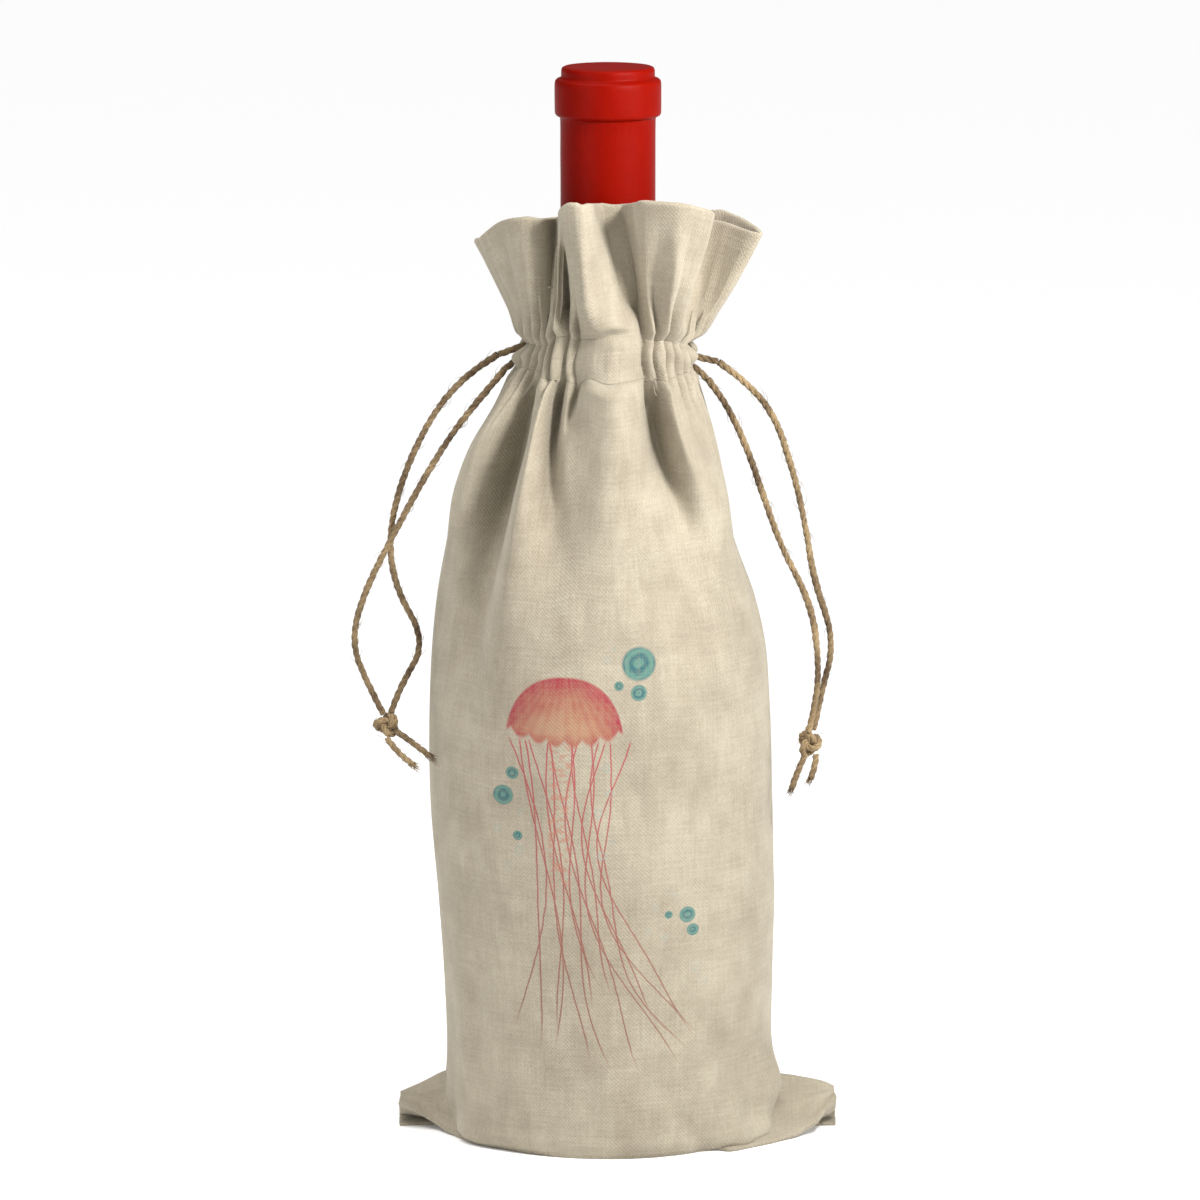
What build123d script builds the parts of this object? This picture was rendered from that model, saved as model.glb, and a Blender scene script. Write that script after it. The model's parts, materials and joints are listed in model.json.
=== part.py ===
import os
from math import asin, cos, degrees, pi, radians, sin, tan

from build123d import *

# A linen drawstring gift bag with a wine bottle standing in it.
# Millimetres. The origin is on the floor under the bottle's axis, +Z is up,
# the printed front of the bag faces -Y and the bag's side seams lie at -X and +X.

os.makedirs("parts", exist_ok=True)

# ---------------------------------------------------------------- driving dimensions

cloth = 1.0  # one layer of linen, with its nap
seam_half = 1.5  # half the width of a stitched seam line
allowance = 3.5  # how far a seam allowance stands into the bag

bottle_radius = 41.0  # 750 ml Burgundy bottle
bottle_height = 297.0
stand_height = 2.8  # the bottle stands on the two layers of the bottom seam
glass = 3.0
neck_radius = 12.7
lip_radius = 14.3
bore_radius = 9.25

casing_radius = 22.9  # outside of the gathered casing
casing_bottom = 214.0
casing_top = 228.0
casing_cloth = 0.8
channel = 2.45  # radial room for the drawcords
thread = 0.35  # how far the stitching stands proud
slot_half = 8.8  # half the opening left in each side seam for the cords

twine_radius = 1.1
left_cord_height = 222.6
right_cord_height = 219.6

# ---------------------------------------------------------------- shape of the bag

# Each row is height, half width across the seams and half depth front to back.
body_sections = [
    (0, 42.5, 40.5),
    (7, 46.5, 43.4),
    (30, 47.0, 43.8),
    (65, 47.6, 43.8),
    (100, 48.0, 43.8),
    (124, 47.4, 43.6),
    (150, 44.5, 39.2),
    (170, 39.5, 33.6),
    (190, 33.0, 28.2),
    (206, 26.4, 24.4),
    (casing_bottom, casing_radius, casing_radius),
]
header_sections = [
    (casing_top, casing_radius, casing_radius),
    (236, 26.0, 24.6),
    (246, 33.5, 28.5),
    (256, 40.0, 33.0),
]
header_cloth = 1.8  # the header is folded over, so it is two layers
lining_radius = casing_radius - casing_cloth - channel  # outside of the lining
lining_inner = lining_radius - casing_cloth


def save(piece, name):
    """Label a finished piece and write it as its own STEP file."""
    piece.part.label = name
    export_step(piece.part, f"parts/{name}.step")


def half_shell(sections, thickness, side, floor=0.0):
    """One half of a cloth tube between level ellipses, on the side of Y given as -1 or 1."""
    with BuildPart() as half:
        for height, half_width, half_depth in sections:
            with BuildSketch(Plane.XY.offset(height)):
                Ellipse(half_width, half_depth)
                inset = thickness[height] if height in thickness else thickness["wall"]
                Ellipse(half_width - inset, half_depth - inset, mode=Mode.SUBTRACT)
                with Locations((0, -side * (half_depth - seam_half))):
                    Rectangle(3 * half_width, 2 * half_depth, mode=Mode.SUBTRACT)
        loft(ruled=True)
        if floor:
            _, half_width, half_depth = sections[0]
            with BuildSketch(Plane.XY):
                Ellipse(half_width - floor / 2, half_depth - floor / 2)
                with Locations((0, -side * (half_depth - seam_half))):
                    Rectangle(3 * half_width, 2 * half_depth, mode=Mode.SUBTRACT)
            extrude(amount=floor)
    return half


def seam_strip(sections, depths, side):
    """The sewn line between two halves, on the side of X given as -1 or 1, as deep as stated."""
    with BuildPart() as strip:
        for (height, half_width, _), depth in zip(sections, depths):
            with BuildSketch(Plane.XY.offset(height)):
                with Locations((side * (half_width - depth / 2), 0)):
                    Rectangle(depth, 2 * seam_half)
        loft(ruled=True)
    return strip


# ---------------------------------------------------------------- front and back panels

header_thickness = {"wall": header_cloth, casing_top: casing_radius - lining_inner}

for side, name in ((-1, "front"), (1, "back")):
    save(half_shell(body_sections, {"wall": cloth}, side, floor=cloth), f"{name}_panel")
    save(half_shell(header_sections, header_thickness, side), f"{name}_header")

# ---------------------------------------------------------------- seams

# The allowance of a side seam stands into the bag, except at the foot and under the casing.
side_seam_depths = [cloth] * 2 + [cloth + allowance] * (len(body_sections) - 4) + [cloth] * 2
header_seam_depths = [casing_radius - lining_inner] + [header_cloth] * (len(header_sections) - 1)

for side, name in ((-1, "left"), (1, "right")):
    save(seam_strip(body_sections, side_seam_depths, side), f"{name}_side_seam")
    save(seam_strip(header_sections, header_seam_depths, side), f"{name}_header_seam")

# The bottom seam runs between the side seams, with both allowances lying on the floor of the bag.
bottom_seam_half = body_sections[0][1] - cloth
bottom_seam_height = 2.3
with BuildPart() as bottom_seam:
    with BuildSketch(Plane.XY):
        Rectangle(2 * bottom_seam_half, 2 * seam_half)
    extrude(amount=bottom_seam_height)
save(bottom_seam, "bottom_seam")

# ---------------------------------------------------------------- bottom corners

# A bag with no gusset keeps its two bottom corners outside the foot of the bottle.
corner_root = 40.0
corner_tip = 61.5
corner_root_size = (46.0, 14.0)  # width along Y, height
corner_tip_size = (18.0, 8.0)


def corner_block(side, inset, radius):
    """Solid lofted from the root of a corner to its tip, drawn in by the inset."""
    ends = ((corner_root, corner_root_size), (corner_tip - inset, corner_tip_size))
    with BuildPart() as block:
        for reach, (width, height) in ends:
            middle = (side * reach, 0, height / 2)
            with BuildSketch(Plane(origin=middle, x_dir=(0, 1, 0), z_dir=(1, 0, 0))):
                RectangleRounded(width - 2 * inset, height - 2 * inset, radius)
        loft(ruled=True)
    return block.part


# The foot of the bag, which a corner meets and doesn't enter.
with BuildPart() as foot:
    for height, half_width, half_depth in body_sections[:3]:
        with BuildSketch(Plane.XY.offset(height)):
            Ellipse(half_width, half_depth)
    loft(ruled=True)

for side, name in ((-1, "left"), (1, "right")):
    with BuildPart() as corner:
        add(corner_block(side, 0, 3.0))
        add(corner_block(side, cloth, 2.0), mode=Mode.SUBTRACT)
        add(foot.part, mode=Mode.SUBTRACT)
    save(corner, f"{name}_corner")

# ---------------------------------------------------------------- casing for the drawcords

slot_angle = degrees(asin(slot_half / casing_radius))
half_turn = 180 - 2 * slot_angle


def turned(start):
    """Upright plane through the axis of the bag at an angle, for profiles turned about Z."""
    angle = radians(start)
    return Plane(
        origin=(0, 0, 0),
        x_dir=(cos(angle), sin(angle), 0),
        z_dir=(sin(angle), -cos(angle), 0),
    )


for start, name in ((180 + slot_angle, "front"), (slot_angle, "back")):
    with BuildPart() as casing:
        with BuildSketch(turned(start)):
            with Locations((casing_radius - casing_cloth / 2, (casing_top + casing_bottom) / 2)):
                Rectangle(casing_cloth, casing_top - casing_bottom)
        revolve(axis=Axis.Z, revolution_arc=half_turn)
    save(casing, f"{name}_casing")

    # The lining leans out at its lower edge, where it is stitched to the panel.
    lean = casing_radius - casing_cloth
    with BuildPart() as lining:
        with BuildSketch(turned(start)):
            with BuildLine():
                Polyline(
                    (lining_inner, casing_top),
                    (lining_radius, casing_top),
                    (lining_radius, casing_bottom + 2.2),
                    (lean, casing_bottom + casing_cloth),
                    (lean, casing_bottom),
                    (lining_inner, casing_bottom + 1.6),
                    close=True,
                )
            make_face()
        revolve(axis=Axis.Z, revolution_arc=half_turn)
    save(lining, f"{name}_casing_lining")

    # Two rows of stitching close the channel above and below the cords.
    for height, row in ((casing_top - 0.9, "upper"), (casing_bottom + 0.9, "lower")):
        with BuildPart() as stitching:
            with BuildSketch(turned(start)):
                with Locations((casing_radius + thread / 2, height)):
                    Rectangle(thread, 2 * thread)
            revolve(axis=Axis.Z, revolution_arc=half_turn)
        save(stitching, f"{name}_{row}_stitching")

# ---------------------------------------------------------------- drawcords


def arc_radii(points):
    """The largest arc for each inner point of a route: 0.45 of the shorter run at it."""
    radii = []
    for before, here, after in zip(points, points[1:], points[2:]):
        first = Vector(*here) - Vector(*before)
        second = Vector(*after) - Vector(*here)
        turn = radians(first.get_angle(second))
        radii.append(0.45 * min(first.length, second.length) / tan(turn / 2))
    return radii


def report_tube(label, piece, length):
    """Print a tube's volume beside its section times its length."""
    expected = pi * twine_radius**2 * length
    print(f"{label}: length {length:.1f}, volume {piece.part.volume:.1f} of {expected:.1f}")


def twine(label, points):
    """A length of twine along straight runs joined by arcs."""
    radii = arc_radii(points)
    with BuildPart() as tube:
        with BuildLine() as route:
            FilletPolyline(*points, radius=radii)
        with BuildSketch(Plane(origin=route.wire() @ 0, z_dir=route.wire() % 0)):
            Circle(twine_radius)
        sweep(path=route.wire())
    print(label, "radii", [round(radius, 1) for radius in radii])
    report_tube(label, tube, route.wire().length)
    save(tube, label)


# In the casing each cord runs right round the neck and leaves by the opening on its own side.
cord_ring = lining_radius + channel / 2
leave_angle = radians(30)  # where a cord starts to leave the ring
leave_run = 8.6


def casing_cord(label, height, back_outlet, front_outlet):
    """The hidden loop of one drawcord, with both ends bent out through the side opening."""
    side = 1 if back_outlet[0] > 0 else -1
    ends = []
    for depth, outlet in ((1, back_outlet), (-1, front_outlet)):
        out = Vector(side * sin(leave_angle), -depth * cos(leave_angle), 0)
        ring_end = Vector(
            side * cord_ring * cos(leave_angle), depth * cord_ring * sin(leave_angle), height
        )
        ends.append([ring_end, ring_end + out * leave_run, Vector(*outlet)])
    back_end, front_end = ends
    back_radii = arc_radii(back_end)
    front_radii = arc_radii(front_end)
    with BuildPart() as loop:
        with BuildLine() as route:
            FilletPolyline(*reversed(back_end), radius=back_radii)
            ThreePointArc(back_end[0], (-side * cord_ring, 0, height), front_end[0])
            FilletPolyline(*front_end, radius=front_radii)
        with BuildSketch(Plane(origin=back_outlet, z_dir=back_end[1] - back_end[2])):
            Circle(twine_radius)
        sweep(path=route.wire())
    print(label, "radii", [round(radius, 1) for radius in back_radii + front_radii])
    report_tube(label, loop, route.wire().length)
    save(loop, label)


casing_cord("left_casing_cord", left_cord_height, (-30.4, 2.4, 219.6), (-28.4, -2.4, 216.4))
casing_cord("right_casing_cord", right_cord_height, (30.6, 2.4, 217.6), (27.6, -2.4, 213.5))

# Free lengths of twine, each point x, y, z from the casing to the knot.
left_outer_route = [
    (-30.7, 2.4, 219.5),
    (-38.0, 1.6, 215.2),
    (-47.5, -0.4, 205.5),
    (-56.0, -3.0, 189.5),
    (-61.2, -5.2, 171.5),
    (-59.8, -7.0, 156.0),
    (-50.6, -8.5, 140.0),
    (-58.2, -10.0, 127.5),
    (-60.6, -11.4, 120.4),
]
left_inner_route = [
    (-28.6, -2.4, 216.2),
    (-33.4, -2.9, 210.6),
    (-42.5, -5.0, 199.8),
    (-51.0, -7.4, 186.6),
    (-59.8, -9.4, 170.5),
    (-68.0, -11.0, 154.5),
    (-71.6, -12.4, 140.8),
    (-67.0, -13.0, 128.8),
    (-62.6, -13.4, 120.6),
]
right_outer_route = [
    (30.9, 2.4, 217.4),
    (37.0, 2.0, 213.2),
    (45.6, 1.0, 204.4),
    (51.0, -1.0, 190.0),
    (55.0, -4.0, 173.5),
    (57.4, -6.5, 157.5),
    (63.4, -8.0, 140.5),
    (59.8, -9.6, 126.5),
    (57.4, -10.8, 115.6),
]
right_inner_route = [
    (27.8, -2.4, 213.3),
    (31.6, -3.0, 208.6),
    (37.2, -4.6, 198.2),
    (42.4, -6.4, 184.0),
    (48.0, -8.6, 167.5),
    (56.6, -10.6, 151.5),
    (58.8, -12.4, 136.0),
    (58.2, -13.0, 124.5),
    (56.0, -13.2, 115.4),
]
free_routes = {
    "left_outer_strand": left_outer_route,
    "left_inner_strand": left_inner_route,
    "right_outer_strand": right_outer_route,
    "right_inner_strand": right_inner_route,
}
for label, points in free_routes.items():
    twine(label, points)

# The two ends of each cord are tied together in one overhand knot, and stick out of it as tails.
knot_radius = 3.9
knot_centres = {"left": (-61.6, -12.6, 117.4), "right": (56.3, -11.9, 111.9)}
tail_routes = {
    "left_long_tail": [(-59.0, -13.6, 115.6), (-54.6, -16.0, 113.2), (-49.4, -18.2, 109.4)],
    "left_short_tail": [(-61.6, -14.8, 113.9), (-58.6, -17.8, 110.2), (-54.2, -20.6, 107.6)],
    "right_long_tail": [(55.2, -12.6, 108.9), (53.0, -13.8, 104.6), (51.4, -14.2, 99.6)],
    "right_short_tail": [(58.2, -12.6, 108.9), (58.0, -14.2, 105.6), (56.6, -15.0, 102.6)],
}
for label, points in tail_routes.items():
    twine(label, points)

for name, centre in knot_centres.items():
    with BuildPart(Plane(origin=centre)) as knot:
        Sphere(knot_radius)
    save(knot, f"{name}_knot")

# ---------------------------------------------------------------- bottle

bottle_top = stand_height + bottle_height
lip_bottom = bottle_top - 13.0
lip_top = bottle_top - 3.0
foot_radius = 35.0
shoulder_start = 118.0
shoulder_points = [(29.5, 168.0), (16.8, 206.0)]
neck_start = 238.0
wine_top = 244.0
punt_points = [(18.0, 22.0), (0.0, 29.0)]


def shoulder_curve(inset, neck):
    """The sloping shoulder, drawn in by the inset, up to the radius that the neck has."""
    points = [(bottle_radius - inset, shoulder_start)]
    points += [(radius - inset, height) for radius, height in shoulder_points]
    points += [(neck, neck_start)]
    return Spline(*points, tangents=[(0, 1), (0, 1)])


with BuildPart() as bottle:
    with BuildSketch(Plane.XZ):
        with BuildLine():
            punt = Spline((0, stand_height + 22), (16, stand_height + 15), (30, stand_height))
            base = Line(punt @ 1, (foot_radius, stand_height))
            heel = JernArc(base @ 1, (1, 0), bottle_radius - foot_radius, 90)
            wall = Line(heel @ 1, (bottle_radius, shoulder_start))
            shoulder_curve(0, neck_radius)
            Polyline(
                (neck_radius, neck_start),
                (neck_radius, lip_bottom),
                (lip_radius, lip_bottom + 0.8),
                (lip_radius, lip_top),
                (neck_radius, lip_top + 0.6),
                (neck_radius, bottle_top),
                (bore_radius, bottle_top),
                (bore_radius, neck_start),
            )
            shoulder_curve(glass, bore_radius)
            Polyline(
                (bottle_radius - glass, shoulder_start),
                (bottle_radius - glass, 14),
                (bottle_radius - 3 * glass, 9),
                *punt_points,
                punt @ 0,
            )
        make_face()
    revolve(axis=Axis.Z)
save(bottle, "bottle")

liquid_gap = 0.2
with BuildPart() as wine:
    with BuildSketch(Plane.XZ):
        with BuildLine():
            shoulder_curve(glass + liquid_gap, bore_radius - liquid_gap)
            Polyline(
                (bore_radius - liquid_gap, neck_start),
                (bore_radius - liquid_gap, wine_top),
                (0, wine_top),
                (0, punt_points[1][1] + liquid_gap),
                (punt_points[0][0], punt_points[0][1] + 2 * liquid_gap),
                (bottle_radius - 3 * glass, 9 + 2 * liquid_gap),
                (bottle_radius - glass - liquid_gap, 14 + liquid_gap),
                (bottle_radius - glass - liquid_gap, shoulder_start),
            )
        make_face()
    revolve(axis=Axis.Z)
save(wine, "wine")

cork_length = 45.0
with BuildPart() as cork:
    with BuildSketch(Plane.XY.offset(bottle_top - 0.5 - cork_length)):
        Circle(bore_radius)
    extrude(amount=cork_length)
    chamfer(cork.edges().filter_by(GeomType.CIRCLE), 0.8)
save(cork, "cork")

# ---------------------------------------------------------------- capsule over the neck

foil = 0.4
foil_gap = 0.1
skirt_bottom = 238.5
skirt_inner = neck_radius + foil_gap
ring_inner = lip_radius + foil_gap
capsule_top_height = bottle_top + 0.7

with BuildPart() as capsule_skirt:
    with BuildSketch(Plane.XZ):
        with BuildLine():
            Polyline(
                (skirt_inner, skirt_bottom),
                (skirt_inner + foil, skirt_bottom),
                (skirt_inner + foil, lip_bottom - 0.6),
                (ring_inner + foil, lip_bottom + 0.2),
                (ring_inner + foil, lip_top + 0.3),
                (skirt_inner + foil, lip_top + 1.0),
                (skirt_inner + foil, capsule_top_height),
                (skirt_inner, capsule_top_height),
                (skirt_inner, lip_top + 0.7),
                (ring_inner, lip_top + 0.1),
                (ring_inner, lip_bottom + 0.4),
                (skirt_inner, lip_bottom - 0.4),
                close=True,
            )
        make_face()
    revolve(axis=Axis.Z)
save(capsule_skirt, "capsule_skirt")

with BuildPart() as capsule_disc:
    with BuildSketch(Plane.XY.offset(bottle_top + foil_gap)):
        Circle(skirt_inner - 0.02)
    extrude(amount=foil)
save(capsule_disc, "capsule_disc")
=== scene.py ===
"""A linen drawstring gift bag round a wine bottle: the looks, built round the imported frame.

Metres, +Z up, the printed front faces -Y. Cloth is worked out in millimetres and scaled once.
A turn is in degrees about the bag's axis: 0 at the right, -90 at the front, 90 at the back.
"""
import json
import math
from functools import partialmethod

import bpy
import numpy as np
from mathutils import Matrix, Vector

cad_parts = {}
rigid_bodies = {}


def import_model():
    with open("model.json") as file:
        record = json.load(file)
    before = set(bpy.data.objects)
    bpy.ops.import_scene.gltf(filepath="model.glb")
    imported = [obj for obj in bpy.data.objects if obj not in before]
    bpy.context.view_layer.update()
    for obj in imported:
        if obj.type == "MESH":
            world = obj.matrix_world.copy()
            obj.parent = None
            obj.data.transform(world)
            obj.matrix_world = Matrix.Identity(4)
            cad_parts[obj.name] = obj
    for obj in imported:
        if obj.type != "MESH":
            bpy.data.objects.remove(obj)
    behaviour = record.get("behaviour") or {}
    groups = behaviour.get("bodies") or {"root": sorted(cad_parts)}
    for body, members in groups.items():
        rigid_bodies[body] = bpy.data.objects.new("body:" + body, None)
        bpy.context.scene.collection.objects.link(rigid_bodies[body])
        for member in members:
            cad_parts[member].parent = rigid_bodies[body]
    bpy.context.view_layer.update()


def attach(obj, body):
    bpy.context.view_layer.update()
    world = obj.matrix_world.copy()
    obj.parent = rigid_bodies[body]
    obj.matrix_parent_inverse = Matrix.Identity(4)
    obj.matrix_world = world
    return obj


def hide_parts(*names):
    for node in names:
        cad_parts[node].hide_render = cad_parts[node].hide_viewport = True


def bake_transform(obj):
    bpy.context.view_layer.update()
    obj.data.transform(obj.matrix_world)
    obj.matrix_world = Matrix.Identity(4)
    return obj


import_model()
MM = 0.001
FRONT, BACK = -1, 1
bag_sides = ((FRONT, "front"), (BACK, "back"))
first_turn = {FRONT: -180, BACK: 0}


# -------- camera

def add_camera():
    """A long lens a little above the object, as a product photographer sets it."""
    elevation = math.radians(10.0)
    distance = 2.2
    view_width = 0.336
    target = Vector((-0.0022, 0.0, 0.1505))
    away = Vector((0.0, -math.cos(elevation), math.sin(elevation)))
    data = bpy.data.cameras.new("camera")
    data.sensor_width = 36.0
    data.lens = data.sensor_width * distance / view_width
    data.clip_end = 20.0
    camera = link(bpy.data.objects.new("camera", data))
    camera.location = target + away * distance
    camera.rotation_euler = (-away).to_track_quat("-Z", "Y").to_euler()
    bpy.context.scene.camera = camera


def link(obj):
    bpy.context.scene.collection.objects.link(obj)
    return obj


add_camera()


# -------- small tools

def curve(table, at):
    """Smooth cubic through rows of numbers: the first column is the place, the rest are values."""
    table = np.asarray(table, float)
    place, values = table[:, 0], table[:, 1:]
    at = np.clip(np.asarray(at, float), place[0], place[-1])
    slopes = np.gradient(values, place, axis=0)
    span = np.clip(np.searchsorted(place, at, side="right") - 1, 0, len(place) - 2)
    width = place[span + 1] - place[span]
    t = ((at - place[span]) / width)[..., None]
    width = width[..., None]
    found = (
        (2 * t**3 - 3 * t**2 + 1) * values[span]
        + (t**3 - 2 * t**2 + t) * (slopes[span] * width)
        + (3 * t**2 - 2 * t**3) * values[span + 1]
        + (t**3 - t**2) * (slopes[span + 1] * width)
    )
    return found[..., 0] if values.shape[1] == 1 else found


def ease(low, high, value):
    """0 below low, 1 above high, and smooth between them."""
    t = np.clip((value - low) / (high - low), 0.0, 1.0)
    return t * t * (3.0 - 2.0 * t)


def bump(distance, width):
    """A round bump of height 1."""
    return np.exp(-((distance / width) ** 2))


def unit(vectors):
    return vectors / np.maximum(np.linalg.norm(vectors, axis=-1, keepdims=True), 1e-9)


def noise(x, y, seed):
    """Smooth noise from -1 to 1 on a unit grid, the same on each run."""
    def corner(i, j):
        value = np.sin(i * 127.1 + j * 311.7 + seed * 74.7) * 43758.5453
        return 2.0 * (value - np.floor(value)) - 1.0

    i, j = np.floor(x), np.floor(y)
    u, v = ease(0, 1, x - i), ease(0, 1, y - j)
    low = corner(i, j) * (1 - u) + corner(i + 1, j) * u
    high = corner(i, j + 1) * (1 - u) + corner(i + 1, j + 1) * u
    return low * (1 - v) + high * v


def mesh_object(name, points, faces, material, uv=None):
    """A smooth-shaded mesh from points in millimetres."""
    mesh = bpy.data.meshes.new(name)
    mesh.from_pydata((np.asarray(points) * MM).tolist(), [], faces)
    mesh.materials.append(material)
    mesh.shade_smooth()
    if uv is not None:
        layer = mesh.uv_layers.new(name="Cloth")
        corners = np.empty(len(mesh.loops), int)
        mesh.loops.foreach_get("vertex_index", corners)
        layer.data.foreach_set("uv", uv[corners].ravel())
    mesh.update()
    return link(bpy.data.objects.new(name, mesh))


def grid_faces(rows, columns, closed=False, flip=False):
    """Quads of a grid whose points run along the columns first."""
    index = np.arange(rows * columns).reshape(rows, columns)
    if closed:
        index = np.hstack([index, index[:, :1]])
    quads = np.stack([index[:-1, :-1], index[:-1, 1:], index[1:, 1:], index[1:, :-1]], axis=-1)
    quads = quads.reshape(-1, 4)
    return (quads[:, ::-1] if flip else quads).tolist()


def run_along(line):
    """The distance of each point from the start of its line."""
    return np.concatenate([[0.0], np.cumsum(np.linalg.norm(np.diff(line, axis=0), axis=1))])


def cloth_uv(grid):
    """Cloth coordinates in millimetres: along the middle row and down the middle column."""
    across = run_along(grid[grid.shape[0] // 2])
    down = run_along(grid[:, grid.shape[1] // 2])
    return np.stack(np.meshgrid(across, down), axis=-1).reshape(-1, 2)


def evaluated_mesh(obj):
    graph = bpy.context.evaluated_depsgraph_get()
    graph.update()
    return bpy.data.meshes.new_from_object(obj.evaluated_get(graph), depsgraph=graph)


def thicken(obj, thickness, offset):
    """Give a sheet its thickness, on its inner side where offset is -1, and apply it."""
    solid = obj.modifiers.new("thickness", "SOLIDIFY")
    solid.thickness = thickness * MM
    solid.offset = offset
    mesh = evaluated_mesh(obj)
    obj.modifiers.clear()
    obj.data = mesh


def stand_for(piece, body, slot, *nodes):
    """Make a piece ride on a body, in place of the CAD nodes that it shows."""
    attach(piece, body)
    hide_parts(*nodes)


def cloth_piece(name, grid, material, thickness=0.0, offset=-1.0, flip=False, cad_node=None):
    """A piece of the bag, named after its CAD node with one more word, unless the node is given."""
    faces = grid_faces(*grid.shape[:2], flip=flip)
    piece = mesh_object(name, grid.reshape(-1, 3), faces, material, cloth_uv(grid))
    if thickness:
        thicken(piece, thickness, offset)
    stand_for(piece, "bag", "linen", cad_node or name.rpartition("_")[0])
    return piece


# -------- nodes of the materials

class Field:
    """A value that varies over a surface. Arithmetic with it adds maths nodes to its material."""

    def __init__(self, socket):
        self.socket = socket
        self.tree = socket.id_data

    def maths(self, operation, *others):
        return operate("Math", operation, self, *others)

    __add__ = partialmethod(maths, "ADD")
    __sub__ = partialmethod(maths, "SUBTRACT")
    __mul__ = partialmethod(maths, "MULTIPLY")
    __truediv__ = partialmethod(maths, "DIVIDE")
    __pow__ = partialmethod(maths, "POWER")
    __abs__ = partialmethod(maths, "ABSOLUTE")
    sine = partialmethod(maths, "SINE")
    maximum = partialmethod(maths, "MAXIMUM")

    def __rsub__(self, other):
        return operate("Math", "SUBTRACT", other, self)

    def clamped(self):
        """The last sum, kept between 0 and 1."""
        self.socket.node.use_clamp = True
        return self


def feed(made, **inputs):
    """Set or link a node's inputs, by name with _ for a space, or by number as i0, i1."""
    for key, value in inputs.items():
        socket = made.inputs[int(key[1:]) if key[1:].isdigit() else key.replace("_", " ")]
        if isinstance(value, Field):
            made.id_data.links.new(value.socket, socket)
        else:
            socket.default_value = value
    return made


def node(tree, kind, **inputs):
    return feed(tree.nodes.new("ShaderNode" + kind), **inputs)


def operate(kind, operation, *values, output=0):
    """One operation on numbers and fields."""
    tree = next(value.tree for value in values if isinstance(value, Field))
    made = node(tree, kind, **{f"i{i}": value for i, value in enumerate(values)})
    made.operation = operation
    return Field(made.outputs[output])


def new_material(name, roughness):
    """A material and its Principled shader."""
    material = bpy.data.materials.new(name)
    material.use_nodes = True
    shader = material.node_tree.nodes["Principled BSDF"]
    return material, feed(shader, Roughness=roughness)


def surface(shader):
    """Places on the object, in metres."""
    return Field(node(shader.id_data, "TexCoord").outputs["Object"])


def speckle(place, scale, detail, roughness=0.5, output=0):
    """Noise from 0 to 1, or as a colour where output is 1."""
    inputs = {"Vector": place, "Scale": scale, "Detail": detail, "Roughness": roughness}
    return Field(node(place.tree, "TexNoise", **inputs).outputs[output])


def streaked(place, scales, detail):
    """Noise with a scale of its own along each axis."""
    mapping = node(place.tree, "Mapping", Vector=place, Scale=scales)
    return speckle(Field(mapping.outputs[0]), 1.0, detail)


def relief(height, strength, depth):
    """A bump from a height that varies over the surface; its depth is in metres."""
    made = node(height.tree, "Bump", Strength=strength, Distance=depth, Height=height)
    return Field(made.outputs[0])


def mix_colour(factor, first, second):
    made = node(factor.tree, "Mix")
    made.data_type = "RGBA"
    return Field(feed(made, i0=factor, i6=first, i7=second).outputs[2])


def ramp(value, stops):
    made = node(value.tree, "ValToRGB", i0=value)
    while len(made.color_ramp.elements) < len(stops):
        made.color_ramp.elements.new(0.5)
    for element, (place, colour) in zip(made.color_ramp.elements, stops):
        element.position = place
        element.color = (*colour, 1.0)
    return Field(made.outputs[0])


# -------- printed linen

# A plain print of our own: a dome, threads that trail from it, and bubbles round it.
# Middles and sizes are in millimetres across and up the front of the bag.
dome_middle = (-12.0, 118.0)
dome_size = (16.5, 18.5)
thread_count = 15
thread_reach = 94.0
thread_half_width = 0.34
crimson, brown = (0.30, 0.006, 0.03, 1.0), (0.17, 0.05, 0.035, 1.0)
rust, grey_teal = (0.33, 0.13, 0.085, 1.0), (0.20, 0.27, 0.25, 1.0)
dome_shades = [(0.25, (0.33, 0.175, 0.10)), (0.55, (0.28, 0.085, 0.055)), (0.88, (0.25, 0.006, 0.028))]
teal_shades = [(0.2, (0.008, 0.085, 0.10)), (0.8, (0.06, 0.17, 0.14))]

# Each bubble is its middle, across and up, and its radius.
teal_bubbles = [
    (8.5, 140, 5), (8.5, 132, 2.4), (3, 134, 1.4), (-29, 102, 3), (-26.5, 108.5, 1.9), (-25, 91, 1.4),
    (22, 69, 2.4), (23.5, 64.6, 1.8), (16.8, 69.4, 1.2),
]
pale_bubbles = [
    (-0.6, 141, 1), (1.8, 144.4, 0.7), (-0.5, 111, 1.2), (0.4, 104, 1.1), (-2.6, 98.5, 1.3),
    (1, 90.5, 0.9), (-1.8, 86.6, 1.4), (-30.5, 92.5, 1.1), (-24.6, 87, 1.3), (-27.5, 83, 0.8),
    (-24, 98, 0.9), (13, 71.4, 0.9), (11, 65.5, 0.8), (15.6, 63, 1), (24.2, 53.5, 0.9), (27, 49.6, 0.7),
    (18, 75, 0.7),
]


def bubble(flat, x, z, radius, rim):
    """A mask of a disc, a mask of its rim, and the distance from its middle in radii."""
    away = operate("VectorMath", "DISTANCE", flat, (x, 0.0, z), output=1) / radius
    inside = ((1.0 - away) * 6.0).clamped()
    line = (1.0 - abs(away - (1.0 - rim)) / rim).clamped()
    return inside, line, away


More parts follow.
